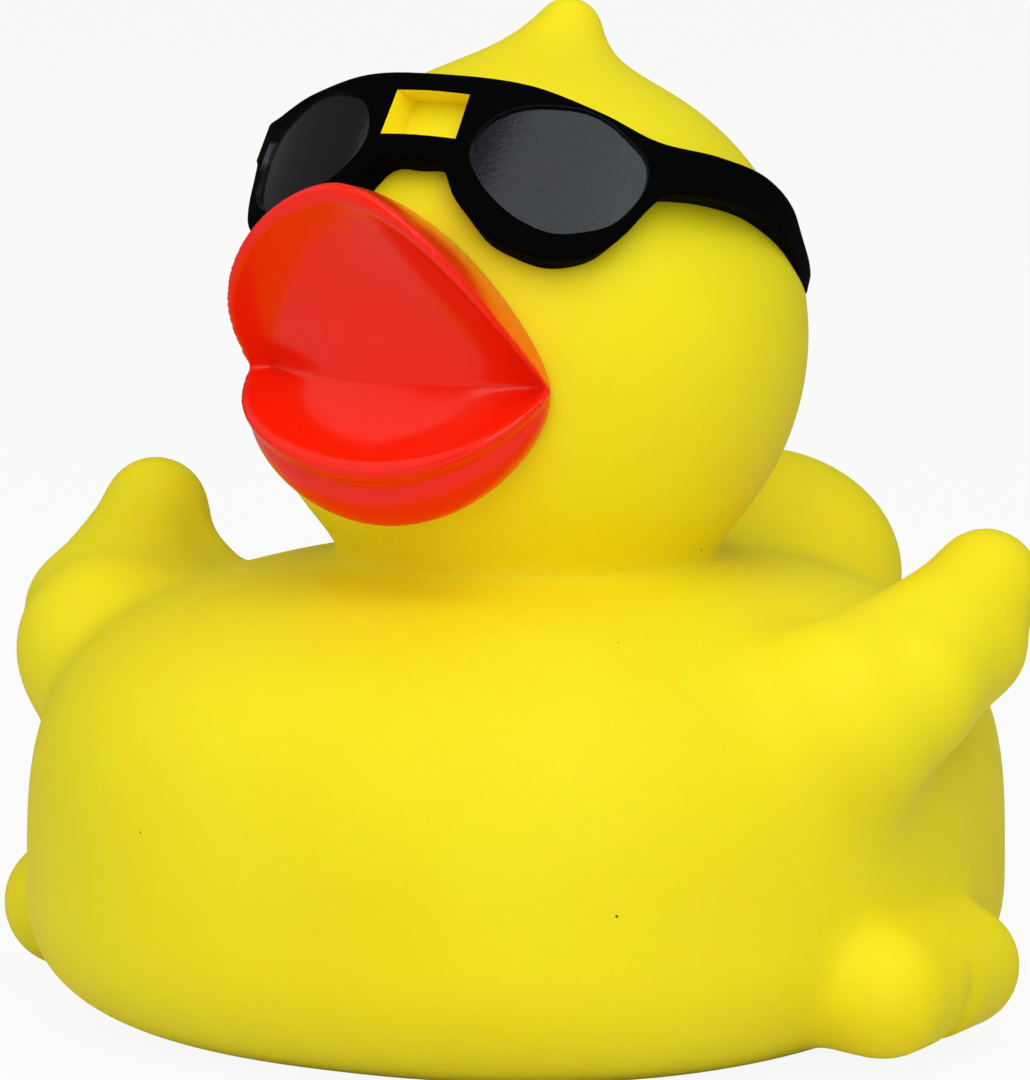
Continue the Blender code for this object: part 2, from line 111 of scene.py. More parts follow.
class BodySizes(bpy.types.PropertyGroup):
    """The loaf-shaped body, a superellipse in plan"""

    half_width: length("Half of the body's width", 0.0428)
    half_length: length("Half of the body's length", 0.0439)
    height: length("Height of the body's back", 0.0423)
    middle_y: length("Place of the body's middle along Y", -0.0063)
    underside_half_width: length("Half width where the underside ends", 0.0182)
    underside_trim: length("Depth of underside cut off by the ground", 0.0008)
    widest_height: length("Height at which the body is widest", 0.0132)
    plan_roundness: plain("Power of the outline seen from above", 2.3)
    back_roundness: plain("Power of the outline over the back", 3.4)
    base_roundness: plain("Power of the outline under the widest place", 2.6)
    wall: length("Thickness of the skin", 0.0024)


class HeadSizes(bpy.types.PropertyGroup):
    """The head and its tuft"""

    radius: length("Radius of the head", 0.0255)
    rise: length("Height of the head's centre over the back", 0.0204)
    middle_y: length("Place of the head's centre along Y", -0.0043)
    tuft_rise: length("Height of the tuft over the head", 0.0046)
    tuft_lean: length("How far the tuft's tip leans to the rear", 0.0073)
    tuft_tip: length("Radius of the tuft's tip", 0.0029)
    tuft_root: length("Radius of the tuft's root", 0.0072)
    tuft_depth: length("How deep the tuft's root lies in the head", 0.0085)


class TailSizes(bpy.types.PropertyGroup):
    """The upturned tail"""

    overhang: length("Reach of the tail behind the body", 0.0128)
    rise: length("Height of the tail over the back", 0.0044)
    tip: length("Radius of the tail's tip", 0.0115)
    root: length("Radius of the tail's root", 0.0145)
    slope_back: length("How far the tip lies behind the root", 0.0085)
    slope_up: length("How far the tip lies above the root", 0.0110)
    spread: plain("Width of the tail over its thickness", 1.25)


class WingSizes(bpy.types.PropertyGroup):
    """The raised wings, which are eggs that lean out and back.

    Each is a skin stretched over five balls. A ball is given by how far its centre lies out of
    the body's side, behind the body's middle and over its back, and by its radius.
    """

    tip: ball_sizes("Ball in the tip", (0.0011, 0.0081, 0.0001, 0.0041))
    palm: ball_sizes("Ball in the broad end", (-0.0044, -0.0083, -0.0103, 0.0081))
    outer: ball_sizes("Ball in the outer face", (0.0002, -0.0044, -0.0078, 0.0057))
    heel: ball_sizes("Ball in the rear edge", (0.0006, 0.0050, -0.0050, 0.0050))
    armpit: ball_sizes("Ball on the inner side", (-0.0038, 0.0060, -0.0055, 0.0039))


class FootSizes(bpy.types.PropertyGroup):
    """The feet, mounds at the foot of the body with a groove between two toes"""

    toes: count("Toes on each foot", 2)
    spacing: length("Distance between toes", 0.0137)
    front_y: length("Place of the front toe along Y", -0.0152)
    groove: length("Depth of the groove between toes", 0.0010)
    groove_ahead: length("How far the groove lies ahead of the middle", 0.0008)
    groove_width: length("Half width of the groove", 0.0010)
    out: length("How far a toe's centre lies out of the body", 0.0002)
    height: length("Height of a toe's centre", 0.0079)
    front_toe: length("Radius of the front toe", 0.0060)
    toe: length("Radius of the rear toe", 0.0056)
    instep_in: length("How deep the instep lies in the body", 0.0026)
    instep_height: length("Height of the instep's centre", 0.0082)
    instep: length("Radius of the instep", 0.0059)


class FilletSizes(bpy.types.PropertyGroup):
    """How far the soft fillets reach where two forms of the moulding meet"""

    neck: length("Fillet round the neck", 0.0060)
    tail: length("Fillet in front of the tail", 0.0120)
    wing: length("Fillet round the wings", 0.0070)
    foot: length("Fillet round the feet", 0.0038)
    toe: length("Fillet between instep and toes", 0.0020)
    tuft: length("Fillet round the tuft", 0.0075)
    between: length("Fillet between a wing's cones", 0.0025)


class BillSizes(bpy.types.PropertyGroup):
    """The bill, two flared lips measured from the head's centre"""

    mouth_height: length("Height of the mouth crease", -0.0013)
    mouth_half_width: length("Half width of the mouth crease", 0.0136)
    half_width: length("Half width of the lips at their rim", 0.0160)
    root_half_width: length("Half width of the lips where they meet the head", 0.0144)
    corner_setback: length("How far the corners lie behind the rim", 0.0020)
    root_depth: length("How deep the lips are sunk in the head", 0.0020)
    overlap: length("How far the lips overlap in the crease", 0.0003)


def lip(direction, height, reach, root_height, edge, hollow, bulge, fullness, root_fullness):
    """The properties of one lip of the bill, with that lip's defaults."""
    return {
        "direction": plain("1 for the upper lip and -1 for the lower", direction),
        "height": length("Height of the rim over the crease", height),
        "reach": length("How far the rim stands off the head", reach),
        "root_height": length("Height of the root over the crease", root_height),
        "edge": length("Size of the rounding on the rim", edge),
        "hollow": length("Depth of the hollow in the face", hollow),
        "bulge": length("Swell of the flank behind the rim", bulge),
        "fullness": plain("Power of the rim's outline", fullness),
        "root_fullness": plain("Power of the root's outline", root_fullness),
    }


class UpperLipSizes(bpy.types.PropertyGroup):
    """The tall upper lip of the bill"""

    __annotations__ = lip(1.0, 0.0194, 0.0098, 0.0148, 0.0024, 0.0016, 0.0005, 1.72, 1.5)


class LowerLipSizes(bpy.types.PropertyGroup):
    """The short lower lip of the bill"""

    __annotations__ = lip(-1.0, 0.0082, 0.0056, 0.0103, 0.0019, 0.0008, 0.0034, 1.7, 2.1)


class GlassesSizes(bpy.types.PropertyGroup):
    """The sunglasses, a tilted band on the head"""

    tilt: plain("Lean of the band's axis to the front, in degrees", 26.0)
    end: plain("Angle round the head at which the arms end, in degrees", 112.0)
    root_depth: length("How deep the band is sunk in the head", 0.0012)
    edge: length("Radius of the band's edges", 0.0005)
    taper: plain("How much the band leans in towards its top", 0.20)
    middle: length("Height at which the taper is nought", 0.0060)
    lens_depth: length("Depth of the lenses in the band", 0.0005)
    window_depth: length("How deep the window lies in the band", 0.0030)
    pad_height: length("How far the cutting pads stand out", 0.0040)
    window_half_angle: plain("Half the window's width, in degrees", 8.3)
    window_bottom: length("Height of the window's lower edge", 0.0095)
    window_top: length("Height of the window's upper edge", 0.0140)


# The band's outline and its stand off the head, as angles in degrees from the front with
# heights from the head's centre along the tilted axis
GLASSES_STAND = ((0, 0.0022), (25, 0.0019), (45, 0.0026), (55, 0.0027), (65, 0.0019),
                 (80, 0.0000), (95, -0.0013), (112, -0.0014))
GLASSES_TOP = ((0, 0.0159), (20, 0.0159), (35, 0.0146), (47, 0.0132), (60, 0.0138),
               (75, 0.0144), (88, 0.0138), (100, 0.0122), (112, 0.0108))
GLASSES_BOTTOM = ((0, 0.0069), (7, 0.0067), (11, 0.0040), (15, 0.0022), (19, 0.0007),
                  (24, -0.0001), (30, -0.0005), (35, 0.0000), (40, 0.0014), (44, 0.0038),
                  (47, 0.0064), (50, 0.0083), (57, 0.0094), (66, 0.0102), (76, 0.0106),
                  (90, 0.0101), (101, 0.0090), (112, 0.0084))
LENS_CENTRE = (30.0, 0.0080)
LENS_OUTLINE = ((30, 0.0145), (36, 0.0140), (41, 0.0127), (45, 0.0112), (46, 0.0094),
                (45, 0.0072), (41, 0.0042), (35, 0.0026), (30, 0.0021), (24, 0.0028),
                (19, 0.0042), (15, 0.0059), (12, 0.0080), (12, 0.0102), (15, 0.0124),
                (21, 0.0139))


class SqueakerSizes(bpy.types.PropertyGroup):
    """The hole in the base and the squeaker's cup"""

    boss_radius: length("Radius of the boss inside the base", 0.0122)
    boss_rise: length("Height of the boss over the wall", 0.0030)
    recess_radius: length("Radius of the recess for the flange", 0.0112)
    recess_depth: length("Depth of the recess for the flange", 0.0016)
    hole_radius: length("Radius of the hole that grips the cup", 0.0080)
    gap: length("Clearance between the cup and the skin", 0.0003)
    flange: length("Thickness of the cup's flange", 0.0008)
    bead_out: length("How far the bead stands off the cup", 0.0010)
    bead_height: length("Height of the bead", 0.0014)
    rise: length("Height of the cup over its bead", 0.0022)
    rim: length("Thickness of the cup's rim", 0.0009)
    ledge: length("Width of the ledge that carries the cap", 0.0008)
    rim_height: length("Height of the rim over the ledge", 0.0022)
    floor: length("Thickness of the cup's floor", 0.0014)
    vent: length("Radius of the vent in the floor", 0.0016)
    bevel: plain("Width of the bevel on the cup's edges over the gap", 0.4)


class Fineness(bpy.types.PropertyGroup):
    """How fine the meshes are"""

    skin_step: length("Size of a face on the skin", 0.00075)
    cavity_step: length("Size of a face inside the skin", 0.0016)
    bill_step: length("Size of a face on the bill", 0.00028)
    rounds: count("Rounds of evening out the skin's faces", 6)
    lip_stations: count("Sections along each lip", 96)
    bill_smoothing: count("Rounds of smoothing on the bill", 4)
    lip_face: count("Parts across a lip's face", 14)
    lip_rim: count("Parts round a lip's rim", 10)
    lip_flank: count("Parts along a lip's flank", 12)
    band_edge: count("Parts round an edge of the sunglasses' band", 4)
    band_face: count("Parts across the band's face", 10)
    pad_foot: count("Rings under a pad that cuts into the band", 12)
    pad_top: count("Rings over such a pad", 3)
    lens_curve: count("Parts between two points of a lens's outline", 5)
    glasses_turn: plain("Angle between the band's sections", 1.25)
    turn_points: count("Points round a turned form", 96)


class Finishes(bpy.types.PropertyGroup):
    """Colours of the vinyl and paints"""

    vinyl: colour("Yellow of the moulded skin", "#F7E51C")
    bill: colour("Orange-red of the bill's paint", "#F41E02")
    bill_thin: colour("Orange where that paint is thin", "#FC420A")
    frame: colour("Black of the sunglasses' paint", "#020202")
    lens: colour("Black of the lenses' gloss", "#0A0B10")
    speck: colour("Dirt in the vinyl and the paint", "#6B4A12")
    spray_from: FloatVectorProperty(subtype="DIRECTION", size=3,
                                    description="Where the bill's paint was sprayed from",
                                    default=(0.0, -0.98, 0.20))
    squeaker: colour("White of the squeaker", "#E6E5DE")
    reed: colour("Grey of the reed", "#C9CCC8")


class StageSettings(bpy.types.PropertyGroup):
    """The camera and the soft lights"""

    yaw: plain("Camera's angle round the duck from its front, in degrees", 30.0)
    elevation: plain("Camera's angle above the floor, in degrees", 8.8)
    distance: length("Distance of the camera from the duck's middle", 1.0)
    aim_height: length("Height that the camera looks at", 0.045)
    lens: plain("Focal length in millimetres on a 36 mm sensor", 365.0)
    shift_x: plain("Camera's shift to the side", -0.0125)
    shift_y: plain("Camera's shift upwards", -0.01269)
    key: lamp("Key light's yaw and elevation in degrees, and watts", (36.0, 38.0, 3.85))
    fill: lamp("The same of the fill light", (-50.0, 30.0, 1.25))
    top: lamp("The same of the light from above", (100.0, 72.0, 1.4))
    lamp_distance: length("Distance of the lights", 0.70)
    softbox_size: length("Width of the lights' softboxes", 0.74)
    ambient: plain("Strength of the light from all round", 0.21)
    floor_size: length("Width of the floor", 6.0)
    floor_tone: plain("Share of light that the floor throws back", 0.80)
    floor_glow: plain("Share of the floor that the camera sees as lit", 0.92)


GROUPS = {
    "body": BodySizes,
    "head": HeadSizes,
    "tail": TailSizes,
    "wing": WingSizes,
    "foot": FootSizes,
    "fillet": FilletSizes,
    "bill": BillSizes,
    "upper_lip": UpperLipSizes,
    "lower_lip": LowerLipSizes,
    "glasses": GlassesSizes,
    "squeaker": SqueakerSizes,
    "fineness": Fineness,
    "finish": Finishes,
    "stage": StageSettings,
}


class Duck(bpy.types.PropertyGroup):
    """All the duck's settings"""

    __annotations__ = {
        name: PointerProperty(type=group) for name, group in GROUPS.items()
    }


def ball(points, centre, radius):
    return np.linalg.norm(points - np.array(centre), axis=1) - radius


def round_cone(points, start, start_radius, end, end_radius):
    """Distance from the skin stretched over two balls."""
    start, end = np.array(start), np.array(end)
    span = np.linalg.norm(end - start)
    offset = points - start
    along = offset @ ((end - start) / span)
    out = np.sqrt(np.maximum((offset ** 2).sum(1) - along ** 2, 0))
    lean = (start_radius - end_radius) / span
    slope = math.sqrt(1 - lean ** 2)
    place = slope * along - lean * out
    side = slope * out + lean * along - start_radius
    near = np.hypot(out, along) - start_radius
    far = np.hypot(out, along - span) - end_radius
    return np.where(place < 0, near, np.where(place > slope * span, far, side))


def pillar(points, centre_y, radius, foot, top):
    """Distance from an upright round pillar on the duck's plane of symmetry."""
    out = np.hypot(points[:, 0], points[:, 1] - centre_y) - radius
    up = np.abs(points[:, 2] - (foot + top) / 2) - (top - foot) / 2
    return np.minimum(np.maximum(out, up), 0) + np.hypot(np.maximum(out, 0), np.maximum(up, 0))


def melt(first, second, reach):
    """Distance from two forms joined with a soft fillet."""
    share = np.maximum(reach - np.abs(first - second), 0) / reach
    return np.minimum(first, second) - reach * share ** 3 / 6


def slopes(field, points, reach=2e-5):
    """The slope of a field at each point along the three axes."""
    here = field(points)
    ahead = [field(points + reach * axis) for axis in np.eye(3)]
    return here, np.stack([(value - here) / reach for value in ahead], axis=1)


def body_measure(points, body):
    """A measure of the body that is nought on its surface and grows outwards."""
    n, m, k = body.plan_roundness, body.back_roundness, body.base_roundness
    x = np.abs(points[:, 0]) / body.half_width
    y = np.abs(points[:, 1] - body.middle_y) / body.half_length
    plan = (x ** n + y ** n) ** (1 / n)
    over = points[:, 2] - body.widest_height
    rise = np.maximum(over, 0) / (body.height - body.widest_height)
    drop = np.maximum(-over, 0) / (body.widest_height + body.underside_trim)
    base = body.underside_half_width / body.half_width
    inner = np.maximum(plan - base, 0) / (1 - base)
    above = (plan ** m + rise ** m) ** (1 / m)
    below = (inner ** k + drop ** k) ** (1 / k)
    return np.where(over > 0, above, below) - 1


def body_distance(points, body):
    """Distance from the body near its surface, where the measure is over its slope."""
    value, slope = slopes(lambda p: body_measure(p, body), points)
    least = 0.5 / body.half_width
    return value / np.maximum(np.linalg.norm(slope, axis=1), least)


def head_centre(duck):
    return Vector((0, duck.head.middle_y, duck.body.height + duck.head.rise))


def tail_distance(points, duck):
    body, tail = duck.body, duck.tail
    tip = np.array((
        0,
        body.middle_y + body.half_length + tail.overhang - tail.tip,
        body.height + tail.rise - tail.tip,
    ))
    root = tip - (0, tail.slope_back, tail.slope_up)
    narrow = points * (1 / tail.spread, 1, 1)
    return round_cone(narrow, root, tail.root, tip, tail.tip)


def one_side(points):
    """Points with their X made positive, since both sides are alike."""
    return np.abs(points) * (1, 0, 0) + points * (0, 1, 1)


def wing_distance(points, duck):
    """Distance from the nearer wing."""
    body, wing = duck.body, duck.wing
    mirrored = one_side(points)
    start = np.array((body.half_width, body.middle_y, body.height, 0))
    total = None
    for names in ("tip palm", "tip outer", "outer palm", "tip heel", "outer heel", "heel palm",
                  "tip armpit", "armpit palm"):
        first, second = (start + getattr(wing, name) for name in names.split())
        cone = round_cone(mirrored, first[:3], first[3], second[:3], second[3])
        total = cone if total is None else melt(total, cone, duck.fillet.between)
    return total


def foot_distance(points, duck):
    """Distance from the nearer foot, a mound whose toes are parted by shallow grooves."""
    body, foot = duck.body, duck.foot
    mirrored = one_side(points)
    last = foot.front_y + (foot.toes - 1) * foot.spacing
    instep, toes = (
        round_cone(mirrored, (x, foot.front_y, z), front, (x, last, z), rear)
        for x, z, front, rear in (
            (body.half_width - foot.instep_in, foot.instep_height, foot.instep, foot.instep),
            (body.half_width + foot.out, foot.height, foot.front_toe, foot.toe),
        ))
    total = melt(instep, toes, duck.fillet.toe)
    # A groove fades out from half a radius under the toe's centre to half a radius over it
    low = np.clip((foot.height - points[:, 2]) / foot.toe + 0.5, 0, 1)
    for i in range(foot.toes - 1):
        middle = foot.front_y + (i + 0.5) * foot.spacing - foot.groove_ahead
        total = total + foot.groove * low * np.exp(-((points[:, 1] - middle)
                                                     / foot.groove_width) ** 2)
    return total


def tuft_distance(points, duck):
    head = duck.head
    centre = head_centre(duck)
    root = centre + Vector((0, 0, head.radius - head.tuft_depth))
    tip = centre + Vector((0, head.tuft_lean, head.radius + head.tuft_rise - head.tuft_tip))
    return round_cone(points, root, head.tuft_root, tip, head.tuft_tip)


def skin_distance(points, duck):
    """Distance from the whole moulding: its forms melted together with soft fillets."""
    head, fillet = duck.head, duck.fillet
    torso = body_distance(points, duck.body)
    torso = melt(torso, tail_distance(points, duck), fillet.tail)
    torso = melt(torso, wing_distance(points, duck), fillet.wing)
    torso = melt(torso, foot_distance(points, duck), fillet.foot)
    top = ball(points, head_centre(duck), head.radius)
    top = melt(top, tuft_distance(points, duck), fillet.tuft)
    return melt(torso, top, fillet.neck)


def cavity_distance(points, duck):
    """Distance from the hollow: the skin less its wall, with a boss round the hole."""
    body, squeaker = duck.body, duck.squeaker
    hollow = skin_distance(points, duck) + body.wall
    floor = body.wall - points[:, 2]
    boss = pillar(points, body.middle_y, squeaker.boss_radius, -body.wall,
                  body.wall + squeaker.boss_rise)
    return np.maximum(np.maximum(hollow, floor), -boss)


def net(field, low, high, step):
    """Points and four-sided faces on the surface where a field is nought.

    The field is read in coarse blocks first, and then step by step in the blocks near it.
    """
    blocks, reach = 4, 1.5
    shape = [int((high[i] - low[i]) / (step * blocks)) + 1 for i in range(3)]
    middles = np.stack(np.meshgrid(*[np.arange(n) + 0.5 for n in shape], indexing="ij"), -1)
    rough = field(middles.reshape(-1, 3) * step * blocks + low).reshape(shape)
    near = np.abs(rough) < step * blocks * reach
    inside = rough < 0
    for axis in range(3):
        near = near.repeat(blocks, axis)
        inside = inside.repeat(blocks, axis)
    spots = np.argwhere(near)
    inside[near] = field(spots * step + low) < 0

    total = np.zeros([n - 1 for n in inside.shape], int)
    for corner in np.ndindex(2, 2, 2):
        part = tuple(slice(c, c + n) for c, n in zip(corner, total.shape))
        total += inside[part]
    crossed = (total > 0) & (total < 2 ** 3)
    number = np.full(total.shape, -1)
    number[crossed] = np.arange(crossed.sum())
    points = (np.argwhere(crossed) + 0.5) * step + low

    faces = []
    for axis in range(3):
        first = np.take(inside, range(inside.shape[axis] - 1), axis)
        second = np.take(inside, range(1, inside.shape[axis]), axis)
        for ahead in (True, False):
            edges = np.argwhere((first != second) & (first == ahead))
            across, up = np.eye(3, dtype=int)[(axis + 1) % 3], np.eye(3, dtype=int)[(axis + 2) % 3]
            corners = [edges - across - up, edges - up, edges, edges - across]
            if not ahead:
                corners.reverse()
            faces.append(np.stack([number[tuple(c.T)] for c in corners], axis=1))
    return points, np.concatenate(faces)


def settle(points, faces, field, rounds):
    """Evens the points out and lets them settle on the surface where a field is nought."""
    links = np.concatenate([faces[:, (i, (i + 1) % 4)] for i in range(4)])
    links = np.unique(np.sort(links, axis=1), axis=0)
    ends = np.concatenate([links, links[:, ::-1]])
    neighbours = np.bincount(ends[:, 0], minlength=len(points))
    last_rounds = 2
    for turn in range(rounds + last_rounds):
        if turn < rounds:
            sums = [np.bincount(ends[:, 0], points[ends[:, 1], i], len(points))
                    for i in range(3)]
            points = np.stack(sums, axis=1) / neighbours[:, None]
        value, slope = slopes(field, points)
        points = points - (value / (slope ** 2).sum(1))[:, None] * slope
    return points


def new_object(name, points, faces):
    mesh = bpy.data.meshes.new(name)
    mesh.from_pydata([tuple(p) for p in points], [], [tuple(f) for f in faces])
    made = bpy.data.objects.new(name, mesh)
    bpy.context.scene.collection.objects.link(made)
    return made


def field_object(name, field, low, high, step, rounds):
    points, faces = net(field, low, high, step)
    points = settle(points, faces, field, rounds)
    return new_object(name, points.tolist(), faces.tolist())


def ring_object(name, rings, closed=False):
    """An object from rings of points: capped at both ends, or closed into a loop."""
    size = len(rings[0])
    points = [point for ring in rings for point in ring]
    faces = []
    for i in range(len(rings) if closed else len(rings) - 1):
        first, second = i * size, (i + 1) % len(rings) * size
        for j in range(size):
            k = (j + 1) % size
            faces.append((first + j, first + k, second + k, second + j))
    if not closed:
        faces.append(tuple(range(size)))
        faces.append(tuple(range(len(points) - 1, len(points) - size - 1, -1)))
    made = new_object(name, points, faces)
    close_up(made)
    return made


def close_up(item):
    """Merges an object's double points and turns its faces outward."""
    mesh = bmesh.new()
    mesh.from_mesh(item.data)
    bmesh.ops.remove_doubles(mesh, verts=mesh.verts, dist=SAME_POINT)
    bmesh.ops.recalc_face_normals(mesh, faces=mesh.faces)
    mesh.to_mesh(item.data)
    mesh.free()


def turned_object(name, profile, centre, segments):
    """A form turned about the vertical through a centre, from (radius, height) points."""
    rings = []
    for i in range(segments):
        turn = 2 * math.pi * i / segments
        across = Vector((math.cos(turn), math.sin(turn), 0))
        rings.append([centre + radius * across + Vector((0, 0, height))
                      for radius, height in profile])
    return ring_object(name, rings, closed=True)


def joined(name, items):
    """One object from the meshes of several, which go."""
    mesh = bmesh.new()
    for item in items:
        mesh.from_mesh(item.data)
        bpy.data.objects.remove(item)
    made = new_object(name, [], [])
    mesh.to_mesh(made.data)
    mesh.free()
    return made


def add_modifier(item, kind, **settings):
    modifier = item.modifiers.new(kind.title(), kind)
    for name, value in settings.items():
        setattr(modifier, name, value)


def cut(item, cutter, material_mode="INDEX"):
    add_modifier(item, "BOOLEAN", operation="DIFFERENCE", object=cutter, solver="EXACT",
                 material_mode=material_mode)


def apply_modifiers(item):
    """Bakes an object's modifiers into its mesh and removes its cutters."""
    cutters = [m.object for m in item.modifiers if m.type == "BOOLEAN"]
    graph = bpy.context.evaluated_depsgraph_get()
    old = item.data
    item.data = bpy.data.meshes.new_from_object(item.evaluated_get(graph))
    item.modifiers.clear()
    bpy.data.meshes.remove(old)
    for cutter in cutters:
        bpy.data.objects.remove(cutter)


def finish_piece(item, slot, *replaced):
    """Shades a piece smooth, puts it on the duck's one body and hides the frame's parts that it
    replaces.
    """
    item.data.name = item.name
    item.data.shade_smooth()
    item.data.set_sharp_from_angle(angle=math.radians(SHARP_ANGLE))
    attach(item, "root")
    if replaced:
        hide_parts(*replaced)


def smooth_curve(points, place):
    """The value at a place on the smooth curve through (place, value) points."""
    places = [point[0] for point in points]
    place = min(max(place, places[0]), places[-1])
    last = len(points) - 1
    index = min(bisect.bisect_right(places, place), last) - 1
    (x0, y0), (x1, y1) = points[index], points[index + 1]
    before, after = points[max(index - 1, 0)], points[min(index + 2, last)]
    slope0 = (y1 - before[1]) / (x1 - before[0])
    slope1 = (after[1] - y0) / (after[0] - x0)
    t = (place - x0) / (x1 - x0)
    span = x1 - x0
    start = (1 + 2 * t) * (1 - t) ** 2 * y0 + t * (1 - t) ** 2 * span * slope0
    end = t * t * (3 - 2 * t) * y1 + t * t * (t - 1) * span * slope1
    return start + end


def steps(parts, first=0.0, last=1.0):
    return [first + (last - first) * i / parts for i in range(parts + 1)]


def signed_power(value, power):
    return math.copysign(abs(value) ** power, value)


def lip_section(turn, duck, lip):
    """The outline of one lip at a turn from -1 to 1 along it, about the head's centre."""
    bill, fine, radius = duck.bill, duck.fineness, duck.head.radius

    def head_front(x, z, stand=0.0):
        return Vector((x, -math.sqrt((radius + stand) ** 2 - x * x - z * z), z))

    side = math.sin(math.pi / 2 * turn)
    rise = math.cos(math.pi / 2 * turn)
    rim_rise = abs(rise) ** (2 / lip.fullness)
    rim = Vector((
        bill.half_width * signed_power(side, 2 / lip.fullness),
        -(radius + lip.reach) + (lip.reach + bill.corner_setback) * (1 - rim_rise) ** 2,
        bill.mouth_height + lip.direction * lip.height * rim_rise,
    ))
    root_rise = abs(rise) ** (2 / lip.root_fullness)
    root = head_front(
        bill.root_half_width * signed_power(side, 2 / lip.root_fullness),
        bill.mouth_height + lip.direction * lip.root_height * root_rise,
    )
    crease = head_front(bill.mouth_half_width * side, bill.mouth_height, bill.overlap)
    crease.z -= lip.direction * bill.overlap
    to_crease = crease - rim
    to_root = root - rim
    edge = min(lip.edge, EDGE_LIMIT * to_crease.length, EDGE_LIMIT * to_root.length)
    inner = rim + edge * to_crease.normalized()
    outer = rim + edge * to_root.normalized()
    sunk_root = root * (1 - bill.root_depth / radius)
    sunk_crease = crease * (1 - bill.root_depth / radius)
    sag = lip.hollow * rise * Vector((0, SAG_BACK, SAG_AWAY * lip.direction))
    swell = lip.bulge * rise * ((outer + root) / 2 - sunk_crease).normalized()
    face = [crease.lerp(inner, t) + 4 * t * (1 - t) * sag for t in steps(fine.lip_face)]
    bow = [inner * (1 - t) ** 2 + 2 * t * (1 - t) * rim + outer * t * t
           for t in steps(fine.lip_rim)[1:-1]]
    flank = [outer.lerp(root, t) + 4 * t * (1 - t) * swell for t in steps(fine.lip_flank)]
    centre = head_centre(duck)
    return [centre + p for p in face + bow + flank + [sunk_root, sunk_crease]]


def glasses_point(duck, angle, height, radius):
    """A point on the tilted band, from its angle round the head, height and radius."""
    turn, tilt = math.radians(angle), math.radians(duck.glasses.tilt)
    forward = Vector((0, -math.cos(tilt), math.sin(tilt)))
    up = Vector((0, math.sin(tilt), math.cos(tilt)))
    side = Vector((radius * math.sin(turn), 0, 0))
    return head_centre(duck) + side + radius * math.cos(turn) * forward + height * up


def glasses_radius(duck, angle, height):
    """The band's outer face, which leans in towards its top."""
    stand = smooth_curve(GLASSES_STAND, abs(angle))
    lean = duck.glasses.taper * (duck.glasses.middle - height)
    return duck.head.radius + stand + lean * max(math.cos(math.radians(angle)), 0)


def band_section(duck, angle):
    """The outline of the band at an angle, with rounded edges, sunk a little into the head."""
    low = smooth_curve(GLASSES_BOTTOM, abs(angle))
    high = smooth_curve(GLASSES_TOP, abs(angle))
    edge, root = duck.glasses.edge, duck.glasses.root_depth
    fine = duck.fineness

    def foot(height):
        return math.sqrt(duck.head.radius ** 2 - height ** 2) - root

    corners = [math.radians(a) for a in steps(fine.band_edge, 0, 90)]
    profile = [(low, foot(low))]
    profile += [(low + edge * (1 - math.cos(a)), edge * (math.sin(a) - 1)) for a in corners]
    profile += [(height, 0.0)
                for height in steps(fine.band_face, low + edge, high - edge)[1:-1]]
    profile += [(high - edge * (1 - math.cos(a)), edge * (math.sin(a) - 1))
                for a in reversed(corners)]
    profile += [(high, foot(high))]
    ring = []
    for index, (height, depth) in enumerate(profile):
        radius = depth
        if 0 < index < len(profile) - 1:
            radius += glasses_radius(duck, angle, height)
        ring.append(glasses_point(duck, angle, height, radius))
    return ring


def glasses_pad(duck, name, outline, centre, depth, height):
    """A block over an outline on the band, from a depth below its face to a height above."""
    rings = []
    levels = [(share, -depth) for share in steps(duck.fineness.pad_foot)[1:]]
    levels += [(share, height) for share in steps(duck.fineness.pad_top, 1.0, 0.0)[:-1]]
    for share, offset in levels:
        ring = []
        for angle, level in outline:
            place = centre[0] + share * (angle - centre[0])
            rise = centre[1] + share * (level - centre[1])
            radius = glasses_radius(duck, place, rise) + offset
            ring.append(glasses_point(duck, place, rise, radius))
        rings.append(ring)
    return ring_object(name, rings)


def closed_curve(points, parts):
    """A smooth closed outline through points, with a number of parts between each pair."""
    outline = []
    for i in range(len(points)):
        a, b, c, d = (Vector(points[(i + j) % len(points)]) for j in (-1, 0, 1, 2))
        for t in steps(parts)[:-1]:
            outline.append(0.5 * (2 * b + (c - a) * t + (2 * a - 5 * b + 4 * c - d) * t * t
                                  + (3 * b - a - 3 * c + d) * t ** 3))
    return outline


def turned_out(yaw, elevation, distance):
    """The way out from the duck at an angle from its front and an angle above the floor."""
    turn, lift = math.radians(yaw), math.radians(elevation)
    level = Vector((math.sin(turn), -math.cos(turn), 0))
    return distance * (math.cos(lift) * level + math.sin(lift) * Vector((0, 0, 1)))


def aimed(name, data, place, target):
    """A lamp or camera at a place, turned to a target."""
    made = bpy.data.objects.new(name, data)
    made.location = place
    made.rotation_euler = (target - place).to_track_quat("-Z", "Y").to_euler()
    bpy.context.scene.collection.objects.link(made)
    return made


def add_node(tree, kind, settings=None, links=None):
    """Adds a node: settings are fields or sockets by name or number, and links are sources."""
    node = tree.nodes.new(kind)
    for name, value in (settings or {}).items():
        if isinstance(name, str) and hasattr(node, name):
            setattr(node, name, value)
        else:
            node.inputs[name].default_value = value
    for name, source in (links or {}).items():
        tree.links.new(source, node.inputs[name])
    return node


def noise(tree, place, size, detail=2.0):
    """Noise from 0 to 1 whose features have a size in metres."""
    node = add_node(tree, "ShaderNodeTexNoise", {"Scale": 1 / size, "Detail": detail},
                    {"Vector": place})
    return node.outputs[0]


